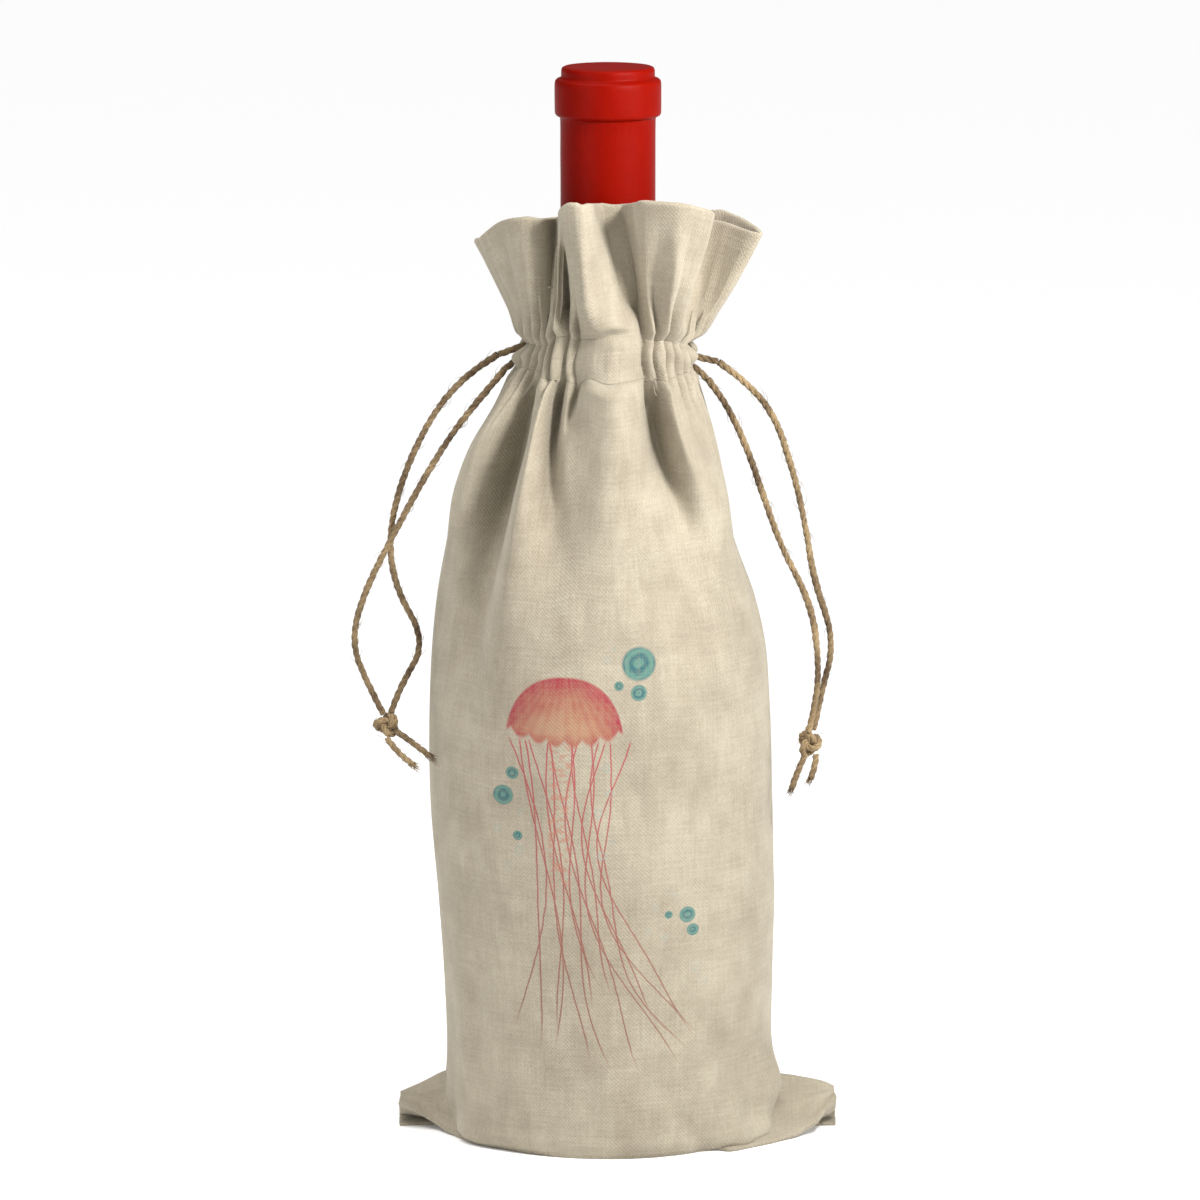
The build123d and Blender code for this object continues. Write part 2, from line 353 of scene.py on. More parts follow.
def printed_threads(x, down, wobble):
    """A mask of the threads, each drawn in towards the middle and then out to the right."""
    sweep = down.maximum(0.0) ** 2.2
    waist = (down * math.pi).sine()
    lines = None
    for k in range(thread_count):
        share = k / (thread_count - 1)
        curl = (down * (5.0 + 0.35 * k) + 1.9 * k).sine()
        line = sweep * (1.0 + 30.0 * share**0.8) + (-27.5 + 31.5 * share)
        line = line + waist * (17.0 * (0.5 - share)) + wobble * (0.25 * math.cos(2.4 * k)) + curl * 2.4
        stroke = (1.0 - abs(x - line) / thread_half_width).clamped()
        end = 0.72 + 0.28 * abs(math.sin(1.7 * k + 0.6))
        stroke = stroke * ((end - down) * 12.0).clamped()
        lines = stroke if lines is None else lines.maximum(stroke)
    return lines


def printed_design(place, colour, streaks):
    """The linen's colour with the design printed over it in thin ink."""
    split = node(place.tree, "SeparateXYZ", Vector=place)
    x, z = (Field(split.outputs[axis]) * (1 / MM) for axis in ("X", "Z"))
    flat = Field(node(place.tree, "CombineXYZ", X=x, Z=z).outputs[0])
    washes = speckle(flat, 0.24, 3.0)
    wobble = (washes - 0.5) * 3.0
    take = (streaks * 0.5 + 0.35).clamped()

    down = (dome_middle[1] + 1.0 - z) / thread_reach
    started = (down * 60.0).clamped()
    ink = mix_colour((down * 1.3).clamped(), crimson, brown)
    colour = mix_colour(printed_threads(x, down, wobble) * started * 0.92, colour, ink)

    # A loose frill down the middle.
    column = ((3.4 - abs(x - (wobble * 1.2 - 13.5))) * 1.2).clamped()
    reach = ((0.5 - down) * 8.0).clamped() * started
    spots = ((streaked(flat, (0.33, 0.6, 0.6), 2.0) - 0.5) * 14.0).clamped() * column * reach
    colour = mix_colour(spots * 0.5, colour, rust)

    # The dome, with a scalloped rim, faint ribs and a darker edge.
    across = (x - dome_middle[0]) / dome_size[0]
    up = (z - dome_middle[1]) / dome_size[1]
    round_off = abs(across) ** 2.4 + up * up
    rim = abs((across * 10.5).sine()) * -0.10 + across * across * 0.2
    dome = ((1.0 - round_off) * 14.0).clamped() * ((up - rim) * 16.0).clamped()
    ribs = (across / (1.25 - up) * 34.0).sine()
    wash = ribs * 0.05 + washes * 0.5 + round_off * 0.62 + (0.14 - up).clamped() * 1.6
    colour = mix_colour(dome * take, colour, ramp(wash, dome_shades))

    for middle_x, middle_z, radius in teal_bubbles:
        inside, line, away = bubble(flat, middle_x, middle_z, radius, 0.16)
        swirl = (away * 11.0 + wobble * 2.5).sine() * 0.4 + 0.5
        colour = mix_colour(inside * take.maximum(line), colour, ramp(swirl, teal_shades))
    for middle_x, middle_z, radius in pale_bubbles:
        line = bubble(flat, middle_x, middle_z, radius, 0.28)[1]
        colour = mix_colour(line * 0.55, colour, grey_teal)
    return colour


# -------- linen and fibres

yarn_width = 0.55
fleck_colour = (0.30, 0.22, 0.12, 1.0)


def linen_material(name, light, dark, printed=False):
    """Plain-woven undyed linen: two sets of uneven threads with slubs, and a soft sheen."""
    material, shader = new_material(name, 0.92)
    cloth_map = node(shader.id_data, "UVMap")
    cloth_map.uv_map = "Cloth"
    place = Field(cloth_map.outputs[0])
    waver = speckle(place, 0.35, 3.0, output=1)
    centred = operate("VectorMath", "SUBTRACT", waver, (0.5, 0.5, 0.5))
    shifted = operate("VectorMath", "MULTIPLY_ADD", centred, (0.9, 0.9, 0.0), place)
    split = node(shader.id_data, "SeparateXYZ", Vector=shifted)
    warp, weft = ((Field(split.outputs[k]) * (math.pi / yarn_width)).sine() for k in (0, 1))
    over = warp * weft
    streaks = streaked(place, (1.6, 0.07, 1.0), 3.0) + streaked(place, (0.06, 1.5, 1.0), 3.0)
    grit = speckle(place, 1.1, 2.0, 0.7)
    cloudy = speckle(place, 0.035, 4.0, 0.6)
    washed = streaked(place, (0.16, 0.10, 1.0), 3.0)

    tone = streaks * 0.36 + grit * 0.5 + cloudy * 0.9 + washed * 0.5 + over * 0.07 - 0.81
    middle = tuple((a + b) / 2 for a, b in zip(light, dark))
    colour = ramp(tone.clamped(), [(0.22, dark), (0.5, middle), (0.74, light)])
    flecks = ramp(streaked(place, (1.1, 0.5, 1.0), 2.0), [(0.66, (0.0, 0.0, 0.0)), (0.78, (1.0, 1.0, 1.0))])
    colour = mix_colour(flecks * 0.28, colour, fleck_colour)
    if printed:
        colour = printed_design(surface(shader), colour, streaks)
    feed(
        shader,
        Base_Color=colour,
        Normal=relief(streaks * 0.9 + over * 0.5, 0.42, 0.00022),
        Roughness=(streaks * 0.12 + 0.80).clamped(),
        Sheen_Weight=0.22, Sheen_Roughness=0.5, Sheen_Tint=(0.95, 0.9, 0.78, 1.0), Specular_IOR_Level=0.2,
    )
    return material


linen_light, linen_dark = (0.355, 0.315, 0.240), (0.235, 0.20, 0.147)
linen = linen_material("linen", linen_light, linen_dark)
linen_print = linen_material("linen_print", linen_light, linen_dark, printed=True)
# A darker copy of the same linen: painted shade for the lining inside the casing and the seam under the
# floor.
linen_painted_shade = linen_material("linen_painted_shade", (0.30, 0.26, 0.195), (0.20, 0.168, 0.12))


def fibre_material(name, light, dark, scale):
    """Spun fibre: fine pale and dark hairs over broader patches."""
    material, shader = new_material(name, 0.85)
    place = surface(shader)
    hairs = speckle(place, scale, 6.0, 0.75)
    tone = speckle(place, scale * 0.08, 3.0) * 0.9 + hairs * 0.7 - 0.3
    feed(
        shader,
        Base_Color=ramp(tone, [(0.28, dark), (0.72, light)]),
        Normal=relief(hairs, 0.7, 0.00015),
        Sheen_Weight=0.15, Specular_IOR_Level=0.25,
    )
    return material


jute = fibre_material("jute", (0.29, 0.205, 0.105), (0.05, 0.027, 0.012), 1500.0)
thread = fibre_material("sewing_thread", (0.34, 0.30, 0.225), (0.20, 0.165, 0.12), 3000.0)


# -------- twine

twine_radius = 1.1

# The free strands, from the casing to the knot, in millimetres, as the CAD routes them.
strand_routes = {
    "left_outer": [
        (-30.7, 2.4, 219.5), (-38, 1.6, 215.2), (-47.5, -0.4, 205.5), (-56, -3, 189.5),
        (-61.2, -5.2, 171.5), (-59.8, -7, 156), (-50.6, -8.5, 140), (-58.2, -10, 127.5),
        (-60.6, -11.4, 120.4),
    ],
    "left_inner": [
        (-28.6, -2.4, 216.2), (-33.4, -2.9, 210.6), (-42.5, -5, 199.8), (-51, -7.4, 186.6),
        (-59.8, -9.4, 170.5), (-68, -11, 154.5), (-71.6, -12.4, 140.8), (-67, -13, 128.8),
        (-62.6, -13.4, 120.6),
    ],
    "right_outer": [
        (30.9, 2.4, 217.4), (37, 2, 213.2), (45.6, 1, 204.4), (51, -1, 190), (55, -4, 173.5),
        (57.4, -6.5, 157.5), (63.4, -8, 140.5), (59.8, -9.6, 126.5), (57.4, -10.8, 115.6),
    ],
    "right_inner": [
        (27.8, -2.4, 213.3), (31.6, -3, 208.6), (37.2, -4.6, 198.2), (42.4, -6.4, 184), (48, -8.6, 167.5),
        (56.6, -10.6, 151.5), (58.8, -12.4, 136), (58.2, -13, 124.5), (56, -13.2, 115.4),
    ],
}

# The tails below each knot, from the knot to the cut end, and the middles of the knots.
tail_routes = {
    "left_long": [(-59, -13.6, 115.6), (-54.6, -16, 113.2), (-49.4, -18.2, 109.4)],
    "left_short": [(-61.6, -14.8, 113.9), (-58.6, -17.8, 110.2), (-54.2, -20.6, 107.6)],
    "right_long": [(55.2, -12.6, 108.9), (53, -13.8, 104.6), (51.4, -14.2, 99.6)],
    "right_short": [(58.2, -12.6, 108.9), (58, -14.2, 105.6), (56.6, -15, 102.6)],
}
knot_centres = {
    "left": (-61.6, -12.6, 117.4),
    "right": (56.3, -11.9, 111.9),
}


def spline_line(points):
    """Points along the smooth curve that has the given control points, in millimetres."""
    data = bpy.data.curves.new("route", "CURVE")
    data.dimensions = "3D"
    data.resolution_u = 24
    spline = data.splines.new("NURBS")
    spline.points.add(len(points) - 1)
    for control, place in zip(spline.points, points):
        control.co = (*place, 1.0)
    spline.order_u = 3
    spline.use_endpoint_u = True
    route = link(bpy.data.objects.new("route", data))
    mesh = evaluated_mesh(route)
    line = np.array([vertex.co for vertex in mesh.vertices])
    bpy.data.batch_remove([route, data, mesh])
    return line


def evenly(line, step):
    """The same line with its points a step apart."""
    run = run_along(line)
    at = np.linspace(0.0, run[-1], max(3, int(run[-1] / step) + 1))
    return np.stack([np.interp(at, run, line[:, k]) for k in range(3)], axis=1)


def frames_along(line):
    """Two directions square to a line at each of its points, with no sudden turn."""
    forward = unit(np.gradient(line, axis=0))
    side = np.cross(forward[0], (0.3, 0.2, 1.0))
    sides = []
    for ahead in forward:
        side = unit(side - ahead * np.dot(side, ahead))
        sides.append(side)
    sides = np.array(sides)
    return sides, np.cross(forward, sides)


def tube(line, radius, around):
    """Points and faces of a closed tube, with a radius for each point of its line."""
    sides, ups = frames_along(line)
    turn = np.linspace(0.0, 2 * math.pi, around, endpoint=False)
    ring = np.cos(turn)[None, :, None] * sides[:, None] + np.sin(turn)[None, :, None] * ups[:, None]
    points = (line[:, None] + ring * np.asarray(radius)[:, None, None]).reshape(-1, 3)
    faces = grid_faces(len(line), around, closed=True)
    faces.append(tuple(range(around))[::-1])
    faces.append(tuple(range((len(line) - 1) * around, len(line) * around)))
    return points, faces


def merged_object(name, parts, material):
    """One mesh from the points and faces of several."""
    points, faces, start = [], [], 0
    for part_points, part_faces in parts:
        points.append(part_points)
        faces += [tuple(index + start for index in face) for face in part_faces]
        start += len(part_points)
    return mesh_object(name, np.concatenate(points), faces, material)


def twisted(line, radius, seed, lay=7.0):
    """A three-ply twisted twine round a line, with plies that vary a little in thickness."""
    sides, ups = frames_along(line)
    run = run_along(line)
    wander = 1.0 + 0.12 * noise(run * 0.12, 0.0, seed + 5)
    parts = []
    for ply in range(3):
        turn = 2 * math.pi * (run / lay + ply / 3)
        swell = wander * (1.0 + 0.12 * noise(run * 0.45, ply, seed))
        offset = 0.38 * radius * (np.cos(turn)[:, None] * sides + np.sin(turn)[:, None] * ups)
        parts.append(tube(line + offset, 0.52 * radius * swell, around=7))
    return parts


def stray_hairs(line, radius, seed, spacing=2.2):
    """Fine fibres standing off the twine."""
    random = np.random.default_rng(seed)
    sides, ups = frames_along(line)
    parts = []
    count = int(len(line) * np.linalg.norm(line[1] - line[0]) / spacing)
    for _ in range(count):
        k = random.integers(0, len(line) - 1)
        turn = random.uniform(0, 2 * math.pi)
        out = math.cos(turn) * sides[k] + math.sin(turn) * ups[k]
        ahead = unit(line[k + 1] - line[k]) * random.choice((-1, 1))
        reach = random.uniform(0.8, 2.0)
        root = line[k] + out * radius * 0.8
        bend = root + out * reach * 0.45 + ahead * reach * 0.7
        end = bend + out * reach * 0.15 + ahead * reach * 0.9
        parts.append(tube(np.array([root, bend, end]), [0.06, 0.05, 0.02], around=3))
    return parts


def twine_object(name, line, seed):
    line = evenly(line, 0.55)
    parts = twisted(line, twine_radius, seed) + stray_hairs(line, twine_radius, seed)
    return merged_object(name, parts, jute)


def tail_object(name, line, seed):
    """A cut end of twine: its fibres spread."""
    line = evenly(line, 0.5)
    random = np.random.default_rng(seed)
    parts = twisted(line, twine_radius, seed) + stray_hairs(line, twine_radius, seed, spacing=1.2)
    ahead = unit(line[-1] - line[-3])
    for _ in range(34):
        spread = random.normal(0.0, 0.5, 3)
        root = line[-2] + random.normal(0.0, 0.35, 3)
        reach = random.uniform(1.0, 2.6)
        middle = root + ahead * reach * 0.55 + spread * 0.45
        end = root + ahead * reach + spread * random.uniform(0.8, 1.5)
        parts.append(tube(np.array([root, middle, end]), [0.13, 0.09, 0.03], around=4))
    return merged_object(name, parts, jute)


def overhand_knot(name, centre, seed, tilt):
    """Both strands of a cord tied together in one overhand knot: a trefoil, tilted in the front's plane."""
    turn = np.linspace(0.0, 2 * math.pi, 120, endpoint=False)
    across = (np.sin(turn) + 2.0 * np.sin(2 * turn)) * 0.92
    up = (np.cos(turn) - 2.0 * np.cos(2 * turn)) * 0.98
    along = -np.sin(3 * turn) * 1.05
    cos, sin = math.cos(tilt), math.sin(tilt)
    line = np.stack([across * cos - up * sin, along, across * sin + up * cos], axis=1) * 0.95 + centre
    line = np.concatenate([line, line[:3]])
    sides, _ = frames_along(line)
    parts = []
    for strand, shift in enumerate((-0.55, 0.55)):
        parts += twisted(line + sides * shift, twine_radius * 0.92, seed + strand, lay=6.0)
    parts += stray_hairs(line, twine_radius * 1.4, seed, spacing=1.5)
    return merged_object(name, parts, jute)


# The hidden loop of each cord: its height in the casing, then its two ends, back and front.
casing_cord_ring = 20.87
casing_cord_bend = 22.4
casing_cords = {
    "left": (222.6, (-30.4, 2.4, 219.6), (-28.4, -2.4, 216.4)),
    "right": (219.6, (30.6, 2.4, 217.6), (27.6, -2.4, 213.5)),
}


def casing_cord_points(side, sign):
    """Control points from the back end round the neck to the front end."""
    height, back_end, front_end = casing_cords[side]
    step = 15
    reach = casing_cord_ring / math.cos(math.radians(step / 2)) * 0.998
    turns = np.radians(np.arange(30, 331, step))
    ring = [(sign * reach * math.cos(turn), reach * math.sin(turn), height) for turn in turns]
    bend = sign * casing_cord_bend
    return [back_end, (bend, 3.0, height - 0.2)] + ring + [(bend, -3.0, height - 0.8), front_end]


def add_cord(side, sign, number):
    """One drawcord: the loop in the casing, the knot, its two tails and its two free strands."""
    route = spline_line(casing_cord_points(side, sign))
    hidden = twine_object(f"{side}_casing_twine", route, 60 + number)
    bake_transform(hidden)
    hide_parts(f"{side}_casing_cord")
    knot = overhand_knot(f"{side}_knot_tied", knot_centres[side], 20 + number, 0.5 - number)
    stand_for(knot, f"{side}_tie", "jute_twine", f"{side}_knot")
    tails = []
    for length in ("long", "short"):
        route = spline_line(tail_routes[f"{side}_{length}"])
        tails.append(tail_object(f"{side}_{length}_frayed", route, 30 + number))
        stand_for(tails[-1], f"{side}_tie", "jute_twine", f"{side}_{length}_tail")
    for place in ("outer", "inner"):
        route = f"{side}_{place}"
        line = spline_line(strand_routes[route])
        strand = twine_object(f"{route}_twine", line, 40 + number)
        stand_for(strand, f"{side}_tie", "jute_twine", f"{route}_strand")


add_cord("left", -1, 0)
add_cord("right", 1, 1)


# -------- shape of the bag

cloth = 0.9
seam_half = 1.5
neck_height = 216.6
crest_base = 0.8

# Height, then reach to the left, right, front and back.
body_rows = [
    (0, 42.6, 42.8, 40.2, 40), (1.5, 44.8, 45, 42, 41.8), (7, 45.8, 46.2, 43.2, 42.9),
    (20, 45.4, 46.1, 43.5, 43.1), (40, 46, 46.4, 43.7, 43.3), (65, 47.6, 46.8, 43.8, 43.4),
    (94, 49.9, 46.3, 43.8, 43.3), (122, 50, 45.4, 43.6, 43), (139, 49.2, 44, 42.6, 42),
    (151, 48, 41.2, 41, 40.2), (168, 45, 35.2, 37.6, 36.8), (185, 41.4, 31.8, 33.4, 32.6),
    (196, 37, 29.8, 30, 29.4), (206, 31, 26.6, 26.8, 26.4), (212, 27.4, 24.2, 24.6, 24.2),
    (216.6, 24.6, 22.8, 23.4, 23.2),
]
lower_reach = np.array(body_rows[-1][1:])
upper_reach = np.array((22.0, 21.4, 22.8, 22.6))

# Where the casing is sewn: turn, then height of the lower and the upper row of stitching.
sewn_rows = [
    (-180, 216.6, 223.6), (-150, 216.6, 224.6), (-120, 216.2, 227.4), (-90, 215.6, 228.6),
    (-60, 216.2, 227.2), (-30, 216.8, 224.4), (0, 217.2, 223.2), (40, 216.4, 225.6), (90, 215.6, 228),
    (140, 216.4, 226), (180, 216.6, 223.6),
]

# Turns at which a sharp crease lies between two gathers.
creases = [
    -180, -170, -161, -153, -146, -138, -130, -118.5, -111, -63, -54, -45, -35, -26, -17, -8, 0, 9, 17,
    27, 36, 47, 56, 68, 77, 89, 99, 110, 119, 131, 140, 150, 158, 168, 180,
]

# Folds on the front, from the casing down. Each row is height, place across, how far the fold
# stands out, and how wide it is to its left and to its right.
front_folds = [
    # deep left valley
    [(118, -42, 0, 8, 5), (140, -38.4, -4.5, 7, 3.8), (156, -35.4, -9, 6.8, 3),
     (172, -31.8, -13.5, 6.4, 2.4), (184, -29, -16, 5.8, 2), (196, -25.4, -15, 4.6, 1.8),
     (207, -22.2, -9.5, 3, 1.5), (217, -19.4, -1.5, 2, 1.4)],
    # soft fold at the left edge
    [(150, -46, 0, 5, 5), (168, -44, 3, 5, 4), (184, -40.5, 5, 5, 3.4), (196, -35, 5, 5, 3.2),
     (206, -29, 3, 4, 2.6), (215, -24.5, 0.5, 3, 2)],
    # ridge right of the left valley
    [(122, -31, 0, 8, 12), (140, -29.4, 2.4, 4.6, 11), (156, -27.6, 4.8, 3.4, 9.5),
     (172, -25.4, 6.4, 2.6, 7.5), (184, -23.4, 7.4, 1.9, 6), (196, -20.4, 7.4, 1.6, 4.4),
     (203, -18.8, 6.2, 1.5, 3.2), (211, -17, 3.6, 1.3, 2.2), (217, -16.4, 1.2, 1.2, 1.6)],
    # valley left of the middle
    [(160, -15, 0, 6, 6), (176, -16, -2.4, 4.4, 4.4), (190, -16.4, -7, 3.2, 2.8),
     (200, -15.6, -10, 2.6, 2), (208, -14, -8, 2.2, 1.6), (217, -12, -1.4, 1.6, 1.2)],
    # slit under the casing
    [(202, -11.4, 0, 1.4, 1.4), (208, -9.4, -2.8, 1.3, 0.9), (213, -8, -3.4, 1.1, 0.8),
     (217, -6.4, -1.2, 0.9, 0.8)],
    # broad ridge in the middle
    [(140, -4, 0, 14, 13), (160, -2, 2.6, 11, 12), (174, -0.6, 4.6, 9, 11), (184, -0.6, 6, 7.5, 9.5),
     (193, 0.4, 6.6, 7, 7.6), (203, 1.6, 6.2, 7.5, 6), (211, 1.4, 5, 8, 5.5), (217, 0.6, 3.6, 8, 6)],
    # valley right of the middle
    [(160, 23, 0, 6, 6), (174, 21, -3.4, 6, 5.5), (186, 18, -8, 5.4, 4), (198, 14.6, -11, 4.4, 3),
     (208, 12.4, -8.6, 2.8, 2.2), (217, 11.4, -1.4, 1.5, 1.4)],
    # ridge right of it
    [(156, 29, 0, 7, 7), (172, 27.6, 2.6, 6, 6), (186, 24.4, 5, 4.2, 5), (195, 21.4, 6.2, 3.4, 4.2),
     (206, 17.6, 5, 2.4, 3.2), (215, 15.6, 1.8, 1.6, 2)],
    # hollow in the middle
    [(146, 15, 0, 9, 9), (160, 16, -2.2, 8, 8), (173, 14, 0, 8, 8)],
    # wrinkle low on the left
    [(8, -36, 0, 3, 3), (34, -36.5, -0.9, 2.6, 3.2), (62, -37.5, 0, 3, 3)],
    # wrinkle on the right
    [(86, 36, 0, 3, 3), (104, 36.4, -0.8, 2.4, 3), (122, 35.2, 0, 3, 3)],
    # wrinkle at the foot
    [(0, 27, -1.2, 3, 3), (10, 21, -1.1, 3.5, 3.5), (22, 13, 0, 4, 4)],
]
running_folds = 9
back_folds = [
    [(z, 3 - 0.94 * x, 0.9 * out, right, left) for z, x, out, left, right in fold]
    for fold in front_folds[:running_folds]
]

# Where the foot spreads into a corner: turn and half width of turn, height and reach.
foot_bulges = [(-33, 15, 17, 7), (-146, 13, 12, 2.6), (35, 16, 15, 4.5), (146, 15, 14, 4)]

# Where the wall bulges: turn and half width of turn, height and half height, and reach.
body_bulges = [
    (-14, 13, 15, 7.5, 3.6), (-33, 6, 6, 6, -3.4), (-150, 9, 26, 9, 1), (-163, 7, 3, 8, -1.6),
    (160, 12, 18, 9, 1.4),
]

# The bottle's wall: height and radius.
bottle_wall = [(0, 40.6), (8, 41.0), (118, 41.0), (145, 37.2), (168, 29.5), (206, 16.8), (238, 12.7)]


def sewn_heights(turn):
    """Heights of the lower and the upper row of stitching, a little uneven where the cloth is bunched."""
    low, high = np.moveaxis(curve(sewn_rows, turn), -1, 0)
    uneven = ease(0, 25, 90 - np.abs(np.abs(turn) - 90))
    low = low + 1.3 * uneven * noise(turn / 10, 0.0, 71)
    high = high + 1.1 * uneven * noise(turn / 8, 0.0, 72)
    return low, high


def quarter_reach(angle, reach):
    """Half widths across and along, for angles about the axis, from left, right, front and back."""
    left, right, front, back = np.moveaxis(reach, -1, 0)
    return np.where(np.cos(angle) < 0, left, right), np.where(np.sin(angle) < 0, front, back)


def gathers(turn):
    """How far the cloth stands out in the lobes between creases."""
    edges = np.asarray(creases, float)
    k = np.clip(np.searchsorted(edges, turn, side="right") - 1, 0, len(edges) - 2)
    width = edges[k + 1] - edges[k]
    t = np.clip((turn - edges[k]) / width, 0.0, 1.0)
    height = np.minimum((0.8 + 0.4 * np.abs(np.sin(2.3 * k))) * (width * 0.4) ** 0.6, 3.8)
    return height * np.sin(np.pi * t) ** 0.7


def gathered_reach(turn):
    """How far the gathered neck stands out at its stitching, least at the sides."""
    return (gathers(turn) - crest_base) * (0.8 + 0.45 * np.sin(np.radians(turn)) ** 2)


def fold_offset(folds, x, z):
    """How far the named folds move the cloth out of its smooth shape."""
    total = np.zeros_like(x)
    for fold in folds:
        place, out, left, right = np.moveaxis(curve(fold, z), -1, 0)
        distance = x - place
        width = np.where(distance < 0, left, right)
        inside = (z > fold[0][0]) & (z < fold[-1][0] + 3)
        total += np.where(inside, out * bump(distance, width), 0.0)
    return total


def body_point(turn, z, side):
    """The outside of the bag's body: its smooth shape, then waves and bulges, then the folds."""
    angle = np.radians(turn)
    lower = sewn_heights(turn)[0]
    across, along = quarter_reach(angle, curve(body_rows, z * neck_height / lower))
    x, y = across * np.cos(angle), along * np.sin(angle)
    outward = unit(np.stack([np.cos(angle) / across, np.sin(angle) / along], axis=-1))
    below = np.clip(lower - z, 0, None)
    off_seam = ease(0.0, 7.0, np.abs(y) - seam_half)

    near = (1.0 + 0.3 * ease(0, 4, below)) * np.exp(-np.clip(below - 3, 0, None) / 8.0)
    offset = gathered_reach(turn) * near
    waves = 0.55 * noise(x / 13 + 7, z / 34, 3 + side) + 0.28 * noise(x / 5.5, z / 17, 9 + side)
    offset += waves * ease(4, 24, z) * ease(0, 14, below) * off_seam
    broad = ease(120, 168, z) * ease(2, 16, below)
    offset += 1.7 * broad * noise(turn / 21, z / 60, 12) * off_seam
    for middle, wide, high, reach in foot_bulges:
        offset += reach * bump(turn - middle, wide) * (1 - ease(0, high, z)) ** 1.4
    for middle, wide, level, high, reach in body_bulges:
        offset += reach * bump(turn - middle, wide) * bump(z - level, high)

    folds = front_folds if side == FRONT else back_folds
    fold = fold_offset(folds, x, z) * off_seam * ease(-3.0, 2.0, below)
    forward = unit(outward * np.array([0.3, 1.0]))
    flat = np.stack([x, y], axis=-1) + outward * offset[..., None] + forward * fold[..., None]
    return np.concatenate([flat, z[..., None]], axis=-1)


def held_off(grid, least):
    """The same points, none nearer to the axis than the least radius."""
    radius = np.linalg.norm(grid[..., :2], axis=-1)
    grid[..., :2] *= (np.maximum(radius, least) / radius)[..., None]
    return grid


def clear_of_bottle(grid, gap=1.6):
    """Cloth that would enter the bottle is held off its wall."""
    return held_off(grid, curve(bottle_wall, grid[..., 2]) + gap)


# -------- front and back panels

seam_flat = 0.9


def panel_grid(side, columns, rows):
    """One panel from the bottom seam, over the floor of the bag and up to the casing."""
    level = np.linspace(0.0, 1.0, rows) ** 0.92
    share, level = np.meshgrid(np.linspace(0.0, 1.0, columns), level)
    flank = np.degrees(np.arcsin(seam_half / curve(body_rows, level * 216)[..., 2]))
    turn = first_turn[side] + flank + share * (180 - 2 * flank)
    wall = clear_of_bottle(body_point(turn, level * sewn_heights(turn)[0], side))
    rim = wall[0]
    seam = np.full(columns, side * seam_half)
    inner = np.stack([rim[:, 0] * 0.965, seam, np.full(columns, seam_flat)], axis=-1)
    floor = np.stack([inner + (rim - inner) * part for part in (0.0, 0.2, 0.4, 0.6, 0.8, 0.93)])
    floor[..., 2] = seam_flat
    return np.concatenate([floor, wall])


panels = {
    "front": cloth_piece("front_panel_cloth", panel_grid(FRONT, 300, 280), linen_print, cloth),
    "back": cloth_piece("back_panel_cloth", panel_grid(BACK, 210, 200), linen, cloth),
}


# -------- casing and lining

def neck_point(turn, level, height, out):
    """A point on the gathered neck, from its lower row at level 0 to its upper row at level 1."""
    angle = np.radians(turn)
    reach = lower_reach + np.asarray(level)[..., None] * (upper_reach - lower_reach)
    across, along = quarter_reach(angle, reach)
    return np.stack([(across + out) * np.cos(angle), (along + out) * np.sin(angle), height], axis=-1)


def casing_grid(side, columns=230, rows=34, opening=11.0):
    """The gathered tunnel for the cords, from its lower to its upper row of stitching."""
    first, last = first_turn[side] + opening, first_turn[side] + 180 - opening
    turn, level = np.meshgrid(np.linspace(first, last, columns), np.linspace(0, 1, rows))
    low, high = sewn_heights(turn)
    bulge = np.sin(np.pi * level) ** 1.6
    lean = 4.0 * noise(turn / 14, level * 1.6, 19) * bulge
    calm_in_front = ease(0.0, 0.5, np.abs(np.sin(np.radians(turn)) + 0.95) + 0.15)
    out = gathered_reach(turn + lean) * (1 + 0.22 * bulge) + 0.3 * bulge
    out += 0.35 * noise(turn / 3.1, level * 2.2, 17) * bulge
    out += 0.55 * noise(turn / 9.0, level * 2.6, 23) * bulge * calm_in_front
    out += 1.9 * bump(np.minimum(turn - first, last - turn) - 2, 7) * bulge
    step = body_point(turn, low, side) - neck_point(turn, 0.0, low, gathered_reach(turn))
    point = neck_point(turn, level, low + (high - low) * level, out)
    return point + step * ((1 - level) ** 2)[..., None]


def lining_grid(side):
    """The inner wall of the tunnel, drawn in against the bottle's neck."""
    turns = np.linspace(first_turn[side] + 1.5, first_turn[side] + 178.5, 110)
    turn, level = np.meshgrid(turns, np.linspace(0, 1, 10))
    radius = 19.5 + 0.25 * np.sin(np.radians(turn * 24)) + 2.3 * (1 - level) ** 5
    angle = np.radians(turn)
    return np.stack([radius * np.cos(angle), radius * np.sin(angle), 214.6 + 13.2 * level], axis=-1)


for side, name in bag_sides:
    node_name = f"{name}_casing_lining"
    casing = cloth_piece(f"{name}_casing_cloth", casing_grid(side), linen, 0.75)
    # The lining wears the darker linen copy, painted shade.
    lining = cloth_piece(f"{name}_lining_cloth", lining_grid(side), linen_painted_shade, 0.6, cad_node=node_name)


# -------- frilled header

header_cloth = 1.7
outer_least, inner_least = 17.6, 15.6

